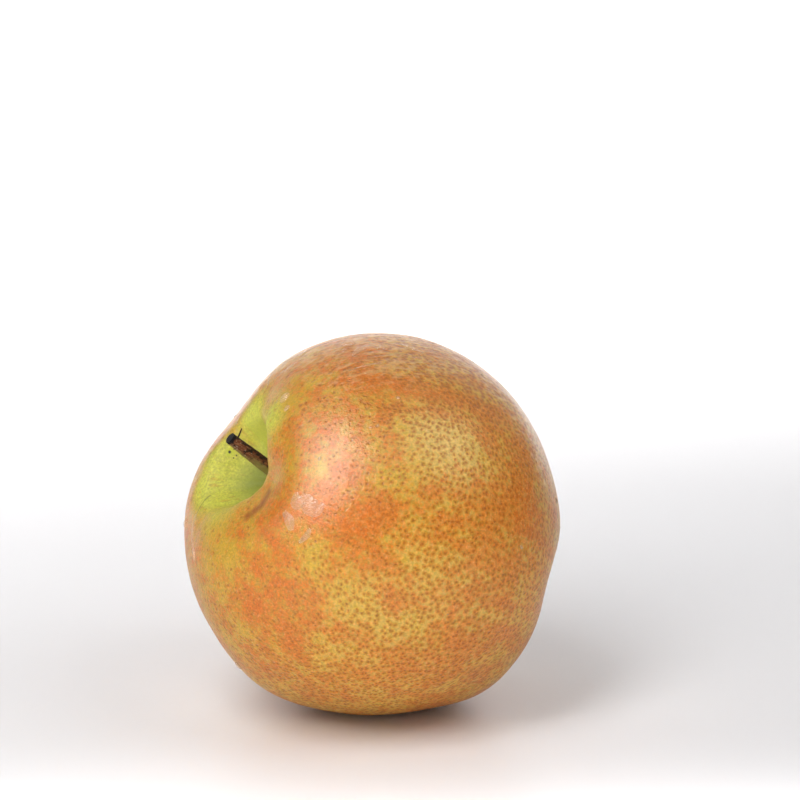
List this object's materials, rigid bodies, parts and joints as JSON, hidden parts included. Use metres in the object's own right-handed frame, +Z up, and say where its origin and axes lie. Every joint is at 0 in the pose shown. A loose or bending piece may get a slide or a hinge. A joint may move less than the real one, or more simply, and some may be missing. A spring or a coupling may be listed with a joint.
{
  "type": "nashi pear",
  "caption": "Whole round nashi pear with its woody stem, lying on its side on a small flat spot.",
  "frame": {"origin": "middle of the flat spot that the pear rests on", "axes": "+Z up, off the surface; the stem end points towards -X and 26.5 degrees up, the eye towards +X"},
  "size_m": [0.0897, 0.0896, 0.0888],
  "materials": {
    "skin": "satin",
    "bark": "matte"
  },
  "bodies": {
    "root": {"fruit": "skin", "stem": "bark"}
  },
  "joints": []
}
